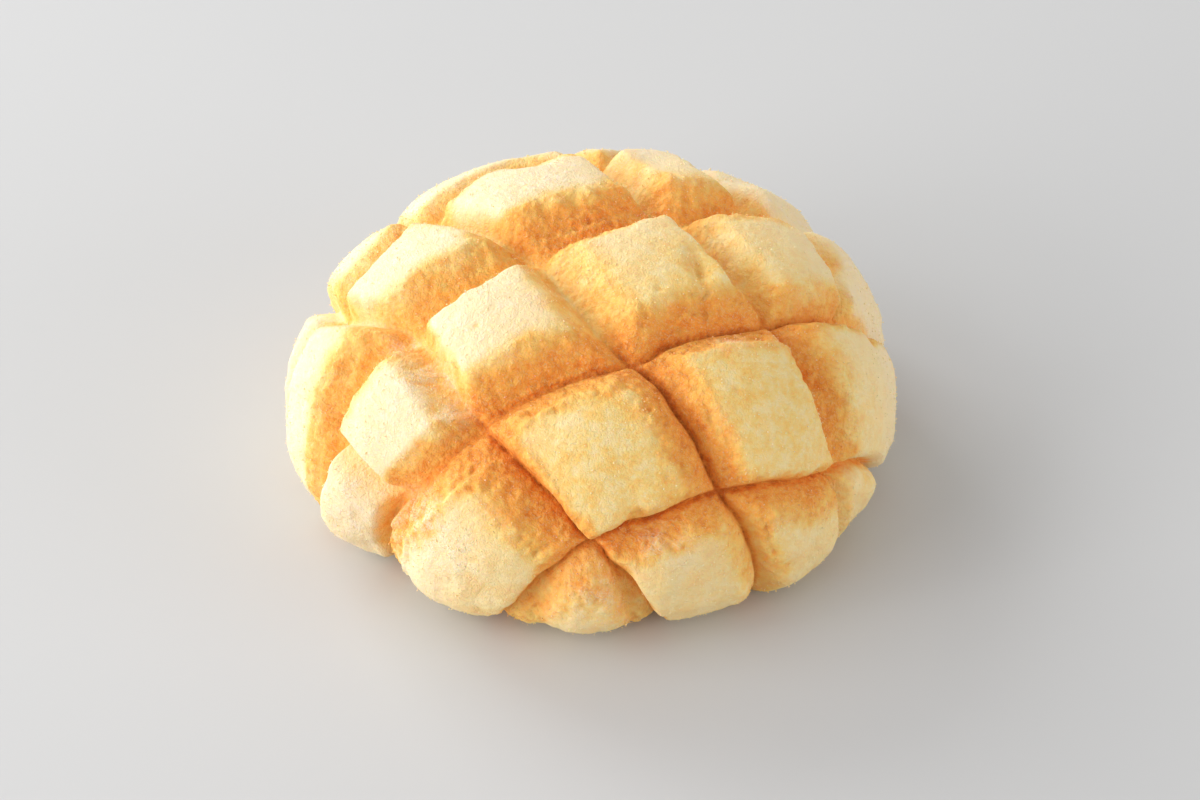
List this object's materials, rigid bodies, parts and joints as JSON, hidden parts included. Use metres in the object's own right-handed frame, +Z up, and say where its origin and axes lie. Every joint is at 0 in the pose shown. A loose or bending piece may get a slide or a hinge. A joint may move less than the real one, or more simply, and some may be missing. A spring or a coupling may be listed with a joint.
{
  "type": "melon pan bun",
  "caption": "Round sweet bun under a scored cookie crust: a low dome of puffed diamond pillows between crossing grooves, rolled in to a flat base.",
  "frame": {"origin": "middle of the bun's box in plan, on the flat base it rests on", "axes": "+Z up through the crown of the dome; +X runs left to right and +Y away, seen from the side that shows the short bottom row of pillows"},
  "size_m": [0.1114, 0.1084, 0.0508],
  "materials": {
    "baked_cookie_dough": "dry, finely grained baked cookie dough: pale cream yellow on the pillows, golden to orange brown on the flanks and in the creases"
  },
  "bodies": {
    "root": {"melon_pan_bun": "baked_cookie_dough"}
  },
  "joints": []
}
